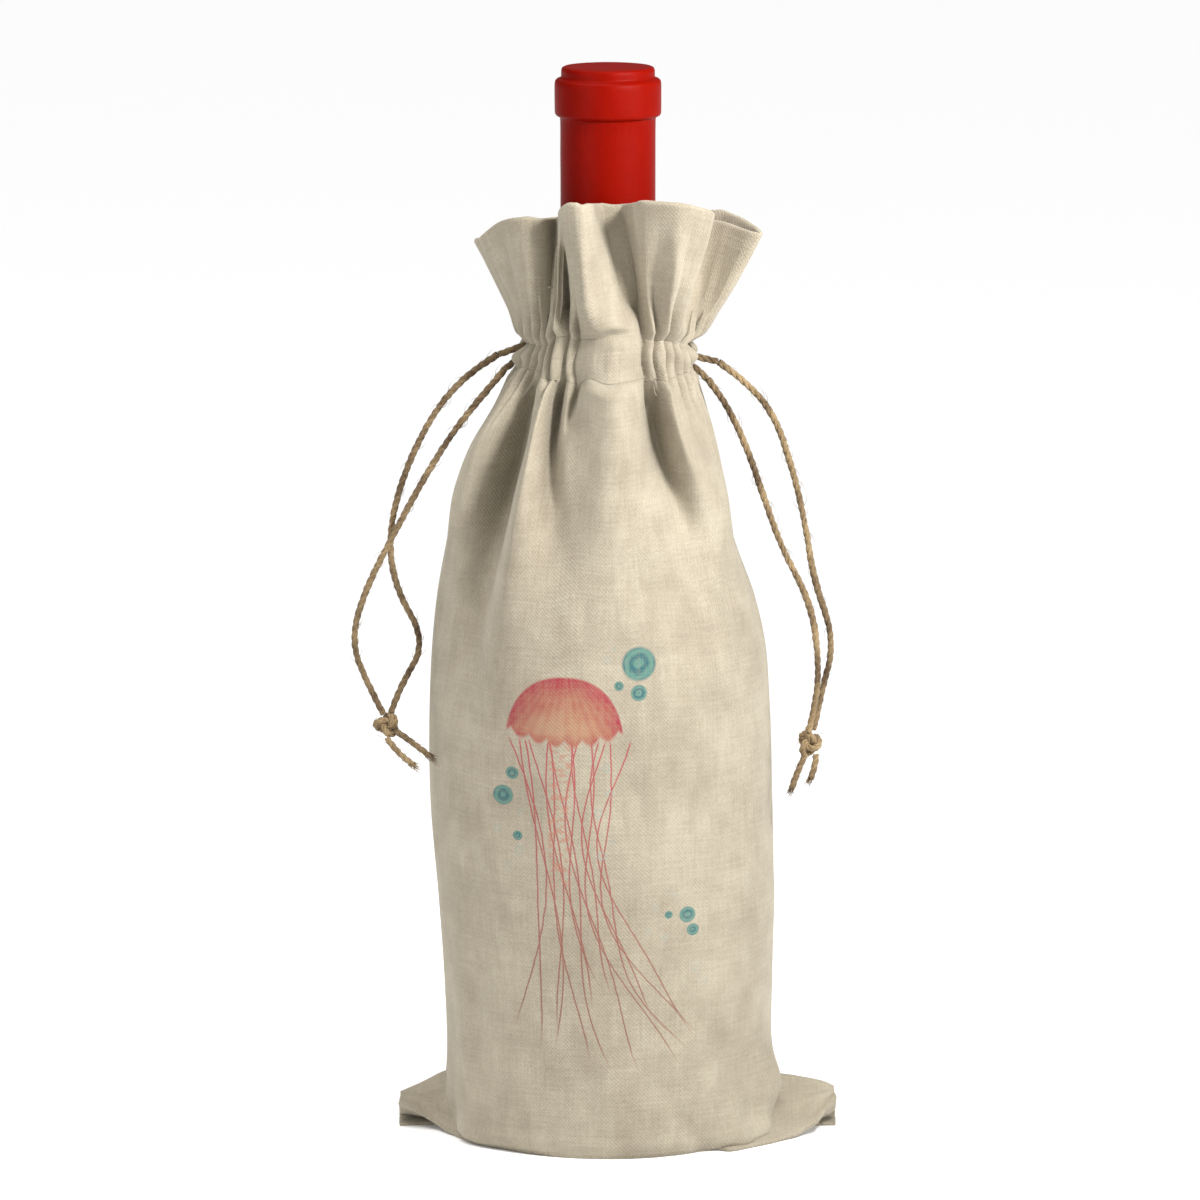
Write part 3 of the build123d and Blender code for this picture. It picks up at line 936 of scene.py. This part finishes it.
# The rim of the frill: turn at the casing it is gathered to, then where it lies.
rim_rows = [
    (-190, -37, 8, 250), (-180, -36.2, 1, 251.4), (-171, -35, -7, 253.6), (-160, -29.5, -15.5, 258.5),
    (-150, -23, -21, 260), (-141, -17.6, -18.5, 259.5), (-134, -14.4, -12, 259.5),
    (-127, -13.6, -21, 262), (-116, -12.6, -29.5, 264.5), (-105, -9, -33, 265.5), (-92, -5, -30, 265),
    (-83, -3, -21, 264.2), (-75, -0.6, -17, 263.5), (-68, 4, -17.4, 263.5), (-63, 6.4, -22.5, 264.5),
    (-58, 8.6, -31, 266), (-52, 17.4, -34.5, 265.5), (-44, 24.8, -32, 264), (-38, 29.2, -26.5, 262),
    (-34, 27.6, -18, 260), (-30, 24.2, -4, 257.5), (-24, 26.8, 5, 256.5), (-16, 33.2, 2, 255.8),
    (-8, 39.4, -4, 254), (0, 43, -4, 253.3), (7, 42.4, 2.6, 254), (14, 38.6, 9, 255.5),
    (22, 34, 14, 257.4), (32, 29, 16, 257.6), (42, 21, 18.5, 256), (52, 19.5, 28, 254.5),
    (64, 12, 33.5, 253.5), (75, 6, 28, 252.5), (84, 4, 20, 252), (94, -2.5, 19.5, 251),
    (102, -5, 28.5, 250), (112, -11.5, 33.5, 249.5), (124, -20, 30, 249), (134, -20.5, 20.5, 249),
    (144, -25, 17, 248.5), (156, -33.5, 16.5, 248.5), (170, -37, 8, 250), (180, -36.2, 1, 251.4),
    (190, -35, -7, 253.6),
]

# Deep folds in the lower half of the frill: turn, half width of turn, and how far they stand out.
frill_folds = [
    (-152, 8, 2.5), (-140, 7, -3), (-126, 3, 2), (-119, 5, -8), (-104, 8, 3), (-68, 9, -9),
    (-54, 3, -2.5), (-49, 3, 2.4), (35, 7, -4), (88, 9, -4.5), (138, 7, -4.5),
]


def header_outside(turn, level):
    """The outer face of the frill, from the upper stitching at level 0 to its rim at level 1."""
    foot_height = sewn_heights(turn)[1]
    foot = neck_point(turn, 1.0, foot_height, gathered_reach(turn))
    rim = curve(rim_rows, turn)
    right = ease(-60, -30, turn) * (1 - ease(20, 60, turn))
    flare = level ** (0.92 - 0.2 * right)
    point = foot + (rim - foot) * flare[..., None]
    point[..., 2] = foot_height + (rim[..., 2] - foot_height) * level
    deep = sum(depth * bump(turn - middle, wide) for middle, wide, depth in frill_folds)
    deep = deep * ease(0.0, 0.3, level) * (1 - ease(0.4, 1.0, level))
    out = gathered_reach(turn) * (1 - ease(0.02, 0.34, level)) * ease(0.0, 0.08, level)
    out += 0.5 * noise(turn / 9.0, level * 2.5, 31) * ease(0.1, 0.5, level)
    angle = np.radians(turn)
    point[..., 0] += np.cos(angle) * (out + 0.2 * deep)
    point[..., 1] += np.sin(angle) * (out + deep)
    point[..., 2] += 0.5 * noise(turn / 7.0, level * 1.5, 33) * level
    return held_off(point, outer_least)


def header_grid(turns, rows=60):
    """Outer face, rolled rim and inner face of the folded-over header, as one run of cloth."""
    margin = 0.4
    wider = np.concatenate([[turns[0] - margin], turns, [turns[-1] + margin]])
    wide = header_outside(*np.meshgrid(wider, np.linspace(0, 1, rows)))
    outer = wide[:, 1:-1]
    normal = unit(np.cross(np.gradient(wide, axis=1), np.gradient(wide, axis=0)))[:, 1:-1]
    for _ in range(3):
        normal[:, 1:-1] = (normal[:, :-2] + normal[:, 1:-1] * 2 + normal[:, 2:]) / 4
    normal = unit(normal)
    inner = held_off(outer - normal * header_cloth, inner_least)
    up = unit(outer[-1] - outer[-2])
    rolled = []
    for turn_over in np.radians([30, 60, 90, 120, 150]):
        arc = normal[-1] * (math.cos(turn_over) - 1) + up * math.sin(turn_over)
        rolled.append(outer[-1] + arc * header_cloth / 2)
    return np.concatenate([outer, np.stack(rolled), inner[::-1]])


for side, name in bag_sides:
    turns = np.linspace(first_turn[side] + 3.5, first_turn[side] + 176.5, 330 if side == FRONT else 240)
    header = cloth_piece(f"{name}_header_frill", header_grid(turns), linen)


# -------- seams

def side_seam_grid(middle, columns=9, rows=150):
    """The strip of cloth between the two panels, pressed in along its stitched line."""
    strip, level = np.meshgrid(np.linspace(-1, 1, columns), np.linspace(0, 1, rows))
    height = level * sewn_heights(np.array(middle))[0]
    along = curve(body_rows, height)[..., 2]
    turn = middle + strip * np.degrees(np.arcsin(seam_half * 1.02 / along))
    turn = np.where(turn > 180, turn - 360, turn)
    in_front = (turn < 0)[..., None]
    face = np.where(in_front, body_point(turn, height, FRONT), body_point(turn, height, BACK))
    face = clear_of_bottle(face)
    face[..., 0] -= np.sign(face[..., 0]) * 0.8 * np.exp(-np.abs(face[..., 1] / 0.55) ** 1.5)
    return face


def header_seam_grid(middle, columns=11, rows=60):
    """The same seam on up the frill, as a groove in its outer face."""
    grid = header_grid(np.linspace(middle - 3.9, middle + 3.9, columns), rows)
    groove = 0.7 * bump(np.linspace(-1, 1, columns), 0.3)
    grid[:rows, :, 0] -= np.sign(grid[:rows, :, 0]) * groove
    return grid


for name, middle in (("left", 180.0), ("right", 0.0)):
    cloth_piece(f"{name}_side_seam_sewn", side_seam_grid(middle), linen, cloth)
    cloth_piece(f"{name}_header_seam_sewn", header_seam_grid(middle), linen)

across, along = np.meshgrid(np.linspace(-41.2, 41.2, 120), np.linspace(-seam_half, seam_half, 9))
ridge = 0.95 + 1.1 * np.sqrt(np.clip(1 - (along / seam_half) ** 2, 0, 1)) + 0.12 * np.sin(across * 2.2)
pressed = np.stack([across, along, ridge], axis=-1)
# The seam under the floor wears the darker linen copy, painted shade.
cloth_piece("bottom_seam_sewn", pressed, linen_painted_shade, 0.8)


# -------- bottom corners

# Each row is reach from the axis, back edge, height of the crest, then depth and height of the
# front edge of the upper layer, and depth of the front edge of the lower layer.
corner_rows = {
    "left": [
        (30, 30, 10, -30, 0.8, -28), (35, 26, 13, -26.5, 0.8, -24), (39, 22, 14.8, -21.5, 0.9, -16),
        (43, 17, 14.8, -15.5, 1.1, -6), (47, 13, 13.6, -10, 2.2, -2.4), (51, 10, 11.6, -6.6, 3.8, -2.2),
        (55, 8, 9.6, -4.8, 5.8, -2.8), (58.5, 6.5, 8, -3.8, 6.9, -3.4),
    ],
    "right": [
        (28, 32, 8, -36, 0.8, -33), (34, 28, 11, -33.6, 0.8, -30), (39, 24, 13, -29.8, 0.8, -25),
        (44, 20, 14, -25.6, 0.9, -18), (49, 16, 13.6, -21, 1.1, -10), (54, 13, 12.7, -16.6, 1.8, -5),
        (59, 10, 11.6, -11.6, 4.4, -3), (62, 8.5, 10.8, -7, 6.6, -2.8), (64, 7.5, 9.8, -3.4, 8.2, -2.8),
    ],
}


def corner_section(reach, share, rows, sign, around=90):
    """One section across a corner; share is how far out it is, from 0 at the foot to 1 at the tip."""
    back, crest, front, edge, lower = curve(rows, reach)
    slope = crest - edge
    loop = [
        (0.00, lower, 0.35),
        (0.16, lower * 0.4 + back * 0.6, 0.3),
        (0.28, back - 1.0, 0.5),
        (0.36, back, 1.6),
        (0.46, back * 0.62, crest * 0.62),
        (0.55, 3.0, crest),
        (0.66, front * 0.22, edge + slope * 0.70),
        (0.77, front * 0.55, edge + slope * 0.30),
        (0.90, front * 0.92, edge + slope * 0.03),
        (0.93, front, edge - 0.35),
        (0.945, front + 0.9, edge - 0.9),
        (0.96, front * 0.75 + 1.0, 0.62 * edge + 0.2),
        (1.00, back * 0.45, 1.3 + 0.2 * edge),
    ]
    y, z = curve(loop, np.linspace(0, 1, around)).T
    y = y * (0.86 + 0.14 * ease(0, 0.2, share))
    z = z * (0.5 + 0.5 * ease(0, 0.15, share))
    z = z + 0.45 * noise(reach / 6, y / 5, 50 + sign) * np.clip(z / 3, 0, 1)
    crease = 0.9 * bump(y - front * 0.45, 2.2) - 0.7 * bump(y - front * 0.15, 1.8)
    z = z + crease * share * (z > 1.5)
    x = sign * (reach + 0.7 * noise(y / 4, z / 4, 52) * share)
    return np.stack([x, y, np.maximum(z, 0.1)], axis=-1)


def corner_grid(name, sign, sections=70):
    """A bottom corner: its lower layer on the floor, folded at the back and brought forward over the top."""
    rows = corner_rows[name]
    shares = np.linspace(0, 1, sections)
    reaches = rows[0][0] + shares * (rows[-1][0] - rows[0][0])
    return np.stack([corner_section(reach, share, rows, sign) for reach, share in zip(reaches, shares)])


for name, sign in (("left", -1), ("right", 1)):
    cloth_piece(f"{name}_corner_fold", corner_grid(name, sign), linen, cloth, offset=0.0, flip=sign > 0)


# -------- stitching

def stitch_row(name, side, upper, pitch=2.6, length=1.7, step=0.25):
    """A row of short stitches that follows the gathered casing."""
    turns = np.linspace(first_turn[side] + 14, first_turn[side] + 166, 900)
    low, high = sewn_heights(turns)
    height = high - 0.25 if upper else low + 0.25
    line = neck_point(turns, float(upper), height, (gathers(turns) - crest_base) * 0.85 - 0.02)
    line = evenly(line, step)
    per_stitch = int(pitch / step)
    used = int(length / step)
    thickness = 0.2 * np.sin(np.linspace(0.12, math.pi - 0.12, used)) ** 0.5
    starts = range(0, len(line) - per_stitch, per_stitch)
    parts = [tube(line[k:k + used], thickness, around=6) for k in starts]
    stand_for(merged_object(f"{name}_stitches", parts, thread), "bag", "sewing_thread", name)


for side, name in bag_sides:
    stitch_row(f"{name}_upper_stitching", side, upper=True)
    stitch_row(f"{name}_lower_stitching", side, upper=False)


# -------- capsule over the bottle's mouth

# Radius and height of the foil, from the lower edge of the skirt to the middle of its top.
capsule_rows = [
    (12.80, 238.5), (13.15, 238.6), (13.20, 239), (13.20, 262), (13.20, 285.6), (13.35, 286.4),
    (14.35, 286.9), (14.72, 287.4), (14.80, 288.2), (14.80, 295.6), (14.66, 296.5), (14.20, 297),
    (13.30, 297.3), (13.02, 297.7), (13.00, 299.4), (12.75, 300.1), (12.10, 300.4), (8, 300.42),
    (0.02, 300.42),
]


def capsule_material():
    """Thin painted foil, a little smeared and scuffed."""
    material, shader = new_material("capsule_foil", 0.38)
    place = surface(shader)
    grain = speckle(place, 380.0, 5.0)
    smears = streaked(place, (60.0, 60.0, 1.0), 3.0)
    reds = [(0.25, (0.145, 0.0015, 0.0)), (0.7, (0.195, 0.003, 0.0))]
    feed(
        shader,
        Base_Color=ramp(smears * 0.6 + grain * 0.3, reds),
        Roughness=smears * 0.22 + 0.32,
        Normal=relief(grain, 0.25, 0.0002),
        Specular_IOR_Level=0.04,
    )
    return material


def capsule_grid(around=160):
    """The spun foil cap, with a fine crimp under its ring and shallow dents."""
    profile = np.asarray(capsule_rows)
    rows = np.arange(len(profile))
    at = np.linspace(0, rows[-1], 4 * len(rows))
    radius = np.interp(at, rows, profile[:, 0])[:, None]
    height = np.interp(at, rows, profile[:, 1])[:, None]
    turn = np.linspace(0, 2 * math.pi, around, endpoint=False)
    crimp = 0.05 * np.sin(turn * 40) * bump(height - 285.8, 1.5)
    dents = 0.07 * noise(turn * 3, height / 6, 60) * ease(2, 12, radius)
    radius = radius + crimp + dents * np.minimum(1, np.sin(turn / 2) * 3)
    return np.stack(np.broadcast_arrays(radius * np.cos(turn), radius * np.sin(turn), height), axis=-1)


foil = capsule_grid()
faces = grid_faces(*foil.shape[:2], closed=True)
skirt = mesh_object("capsule_skirt_foil", foil.reshape(-1, 3), faces, capsule_material())
stand_for(skirt, "bottle", "capsule_foil", "capsule_skirt", "capsule_disc")


# -------- bottle, wine and cork

def cad_material(cad_node, material):
    """Give a carried-over CAD node its material."""
    mesh = bpy.data.objects[cad_node].data
    mesh.materials.clear()
    mesh.materials.append(material)


glass, shader = new_material("green_glass", 0.05)
ripple = speckle(surface(shader), 45.0, 2.0)
tint = ramp(ripple, [(0.3, (0.010, 0.032, 0.014)), (0.7, (0.020, 0.055, 0.022))])
feed(shader, Base_Color=tint, Normal=relief(ripple, 0.08, 0.001), IOR=1.5, Transmission_Weight=0.35)
cad_material("bottle", glass)

wine, shader = new_material("red_wine", 0.02)
depth = speckle(surface(shader), 8.0, 1.0)
feed(shader, Base_Color=ramp(depth, [(0.3, (0.05, 0.002, 0.006)), (0.7, (0.09, 0.004, 0.010))]))
cad_material("wine", wine)

cork, shader = new_material("natural_cork", 0.85)
place = surface(shader)
cells = Field(node(place.tree, "TexVoronoi", Vector=place, Scale=900.0).outputs[0])
pores = speckle(place, 160.0, 5.0)
tint = ramp(cells * 0.3 + pores, [(0.4, (0.18, 0.085, 0.035)), (0.6, (0.50, 0.31, 0.16))])
feed(shader, Base_Color=tint, Normal=relief(pores, 0.5, 0.0003))
cad_material("cork", cork)


# -------- floor and light

# Each soft lamp is its name, its place, what it points at, its width in metres and its power.
lamps = [
    ("key", (0.62, -0.36, 0.42), (0.0, 0.0, 0.20), 0.18, 3.2),
    ("brow", (0.23, -0.26, 0.44), (0.0, 0.0, 0.28), 0.08, 2.5),
    ("fill", (-0.60, -0.60, 0.40), (0.0, 0.0, 0.20), 0.5, 2.6),
]


def add_floor():
    """A wide disc of plain white paper."""
    radius, count = 9.0, 48
    turns = np.linspace(0, 2 * math.pi, count, endpoint=False)
    corners = [(radius * math.cos(turn), radius * math.sin(turn), 0.0) for turn in turns]
    mesh = bpy.data.meshes.new("floor")
    mesh.from_pydata(corners, [], [tuple(range(len(corners)))])
    paper, shader = new_material("white_paper", 0.9)
    fibre = speckle(surface(shader), 900.0, 2.0)
    feed(shader, Base_Color=ramp(fibre, [(0.3, (0.95, 0.95, 0.95)), (0.7, (0.97, 0.97, 0.97))]))
    mesh.materials.append(paper)
    link(bpy.data.objects.new("floor", mesh))


def add_light(name, kind, power, direction):
    """A lamp whose light comes from a direction."""
    data = bpy.data.lights.new(name, kind)
    data.energy = power
    lamp = link(bpy.data.objects.new(name, data))
    lamp.rotation_euler = Vector(direction).to_track_quat("Z", "Y").to_euler()
    return lamp


def add_lights():
    """A pale room, soft light from above, a key from the right, a brow light on the frill and a left fill."""
    world = bpy.data.worlds.new("studio")
    world.use_nodes = True
    feed(world.node_tree.nodes["Background"], Color=(1.0, 1.0, 1.0, 1.0), Strength=0.19)
    bpy.context.scene.world = world
    above = add_light("above", "SUN", 2.75, (-0.28, -0.05, 1.3))
    above.data.angle = math.radians(50.0)
    for name, place, aim, width, power in lamps:
        lamp = add_light(name, "AREA", power, Vector(place) - Vector(aim))
        lamp.data.size = width
        lamp.location = place
    bpy.context.scene.view_settings.view_transform = "Standard"


add_floor()
add_lights()
